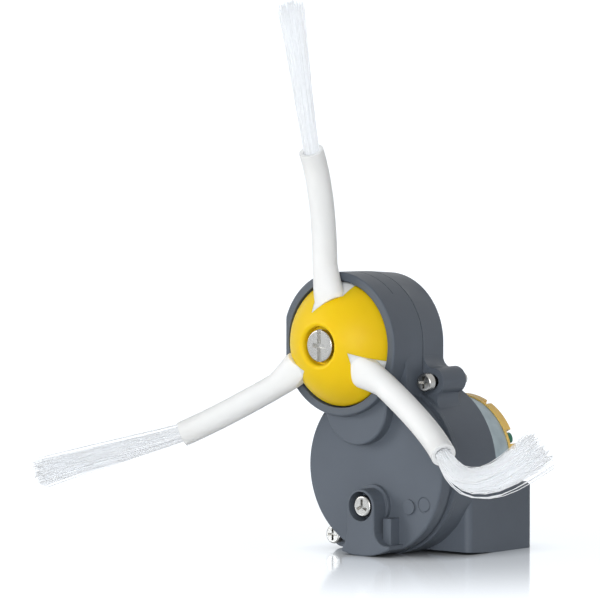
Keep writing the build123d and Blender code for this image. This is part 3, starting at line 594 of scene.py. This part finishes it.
def seen_rays(nodes, link):
    """A mask of the rays that show a surface to the eye: straight, mirrored or through glass."""
    path = nodes.new("ShaderNodeLightPath")
    first = nodes.new("ShaderNodeMath")
    first.operation = "MAXIMUM"
    link(path.outputs["Is Camera Ray"], first.inputs[0])
    link(path.outputs["Is Glossy Ray"], first.inputs[1])
    second = nodes.new("ShaderNodeMath")
    second.operation = "MAXIMUM"
    link(first.outputs[0], second.inputs[0])
    link(path.outputs["Is Transmission Ray"], second.inputs[1])
    return second.outputs[0]


def floor_share(nodes, link, distance, seen, reach, near, far):
    """A share that changes smoothly with the distance from the module, for seen rays alone."""
    share = nodes.new("ShaderNodeMapRange")
    share.interpolation_type = "SMOOTHSTEP"
    share.inputs["From Min"].default_value = reach[0]
    share.inputs["From Max"].default_value = reach[1]
    share.inputs["To Min"].default_value = near
    share.inputs["To Max"].default_value = far
    link(distance, share.inputs["Value"])
    shown = nodes.new("ShaderNodeMath")
    shown.operation = "MULTIPLY"
    link(share.outputs["Result"], shown.inputs[0])
    link(seen, shown.inputs[1])
    return shown.outputs[0]


def floor_material():
    """A white sheet that keeps shadow, glows to the eye except where painted contact shade dims it, and
    mirrors what is near.
    """
    material = bpy.data.materials.new("white_sheet")
    material.use_nodes = True
    nodes = material.node_tree.nodes
    link = material.node_tree.links.new
    nodes.clear()
    coords = nodes.new("ShaderNodeTexCoord")
    away = nodes.new("ShaderNodeVectorMath")
    away.operation = "LENGTH"
    link(coords.outputs["Object"], away.inputs[0])
    distance = away.outputs["Value"]
    diffuse = nodes.new("ShaderNodeBsdfDiffuse")
    diffuse.inputs["Color"].default_value = FLOOR_WHITE
    # Ambient occlusion dims the glow close to the module: this is painted contact shade under its foot.
    painted_contact_shade = nodes.new("ShaderNodeAmbientOcclusion")
    painted_contact_shade.inputs["Distance"].default_value = PAINTED_SHADE_REACH
    glow = nodes.new("ShaderNodeEmission")
    glow.inputs["Color"].default_value = GLOW_COLOR
    link(painted_contact_shade.outputs["AO"], glow.inputs["Strength"])
    seen = seen_rays(nodes, link)
    lifted = nodes.new("ShaderNodeMixShader")
    glow_share = floor_share(nodes, link, distance, seen, GLOW_REACH, NEAR_GLOW, FAR_GLOW)
    link(glow_share, lifted.inputs["Fac"])
    link(diffuse.outputs[0], lifted.inputs[1])
    link(glow.outputs[0], lifted.inputs[2])
    mirror = nodes.new("ShaderNodeBsdfGlossy")
    mirror.inputs["Roughness"].default_value = MIRROR_ROUGHNESS
    mirror.inputs["Color"].default_value = MIRROR_TINT
    sheet = nodes.new("ShaderNodeMixShader")
    mirror_share = floor_share(nodes, link, distance, seen, MIRROR_REACH, NEAR_MIRROR, FAR_MIRROR)
    link(mirror_share, sheet.inputs["Fac"])
    link(lifted.outputs[0], sheet.inputs[1])
    link(mirror.outputs[0], sheet.inputs[2])
    end = nodes.new("ShaderNodeOutputMaterial")
    link(sheet.outputs[0], end.inputs["Surface"])
    return material


white_sheet = floor_material()
print("sheet nodes:", len(white_sheet.node_tree.nodes))

# %% [markdown]
# The sheet is wide enough to pass out of sight on every side, and its middle is the model's origin, from
# which the surface measures its distances.

# %% Lay the sheet
FLOOR_HALF = 12.0

shape = bmesh.new()
bmesh.ops.create_grid(shape, x_segments=1, y_segments=1, size=FLOOR_HALF)
floor_mesh = bpy.data.meshes.new("white_sheet")
shape.to_mesh(floor_mesh)
shape.free()
floor_mesh.materials.append(white_sheet)
floor = bpy.data.objects.new("white_sheet", floor_mesh)
bpy.context.collection.objects.link(floor)
print("floor:", 2 * FLOOR_HALF, "m wide")

# %% [markdown]
# ## Light
# The photograph was lit as in a light tent: soft from all round, with more from the front and less from
# above. The world gives the even part. To the eye it is plain white, and as a source of light it is
# dimmer, most of all overhead.

# %% Light the room evenly
ROOM_WHITE = (1.0, 1.0, 1.0, 1.0)
SEEN_LIGHT = 1.0
HORIZON_LIGHT = 0.42
ZENITH_LIGHT = 0.15


def room_world():
    """A room that lights less from above, and is plain white where it is seen."""
    world = bpy.data.worlds.new("white_room")
    world.use_nodes = True
    nodes = world.node_tree.nodes
    link = world.node_tree.links.new
    coords = nodes.new("ShaderNodeTexCoord")
    split = nodes.new("ShaderNodeSeparateXYZ")
    link(coords.outputs["Generated"], split.inputs[0])
    height = nodes.new("ShaderNodeMapRange")
    height.inputs["To Min"].default_value = HORIZON_LIGHT
    height.inputs["To Max"].default_value = ZENITH_LIGHT
    link(split.outputs["Z"], height.inputs["Value"])
    strength = nodes.new("ShaderNodeMapRange")
    strength.inputs["To Max"].default_value = SEEN_LIGHT
    link(seen_rays(nodes, link), strength.inputs["Value"])
    link(height.outputs["Result"], strength.inputs["To Min"])
    link(strength.outputs["Result"], nodes["Background"].inputs["Strength"])
    nodes["Background"].inputs["Color"].default_value = ROOM_WHITE
    return world


bpy.context.scene.world = room_world()
print("world:", bpy.context.scene.world.name)

# %% [markdown]
# Two wide area lamps in front add the soft direction, and a low one behind keeps the motor's side
# readable. A wide lamp gives soft shadows, and a point lamp would give hard ones.

# %% Set up the soft lamps
LAMPS = {
    "left_softbox": {"place": (-1.3, -1.2, 0.5), "power": 11.0, "size": 0.7},
    "right_softbox": {"place": (0.85, -1.5, 0.3), "power": 18.5, "size": 0.8},
    "back_softbox": {"place": (-0.3, 1.7, 0.15), "power": 6.0, "size": 0.9},
}


def soft_lamp(name, place, power, size):
    """A square lamp that faces the module's middle."""
    data = bpy.data.lights.new(name, "AREA")
    data.energy = power
    data.size = size
    lamp = bpy.data.objects.new(name, data)
    middle = (cad_box[0] + cad_box[1]) / 2
    lamp.location = place
    lamp.rotation_euler = (Vector(middle) - Vector(place)).to_track_quat("-Z", "Y").to_euler()
    bpy.context.collection.objects.link(lamp)


for name, lamp in LAMPS.items():
    soft_lamp(name, **lamp)
print("lamps:", list(LAMPS))
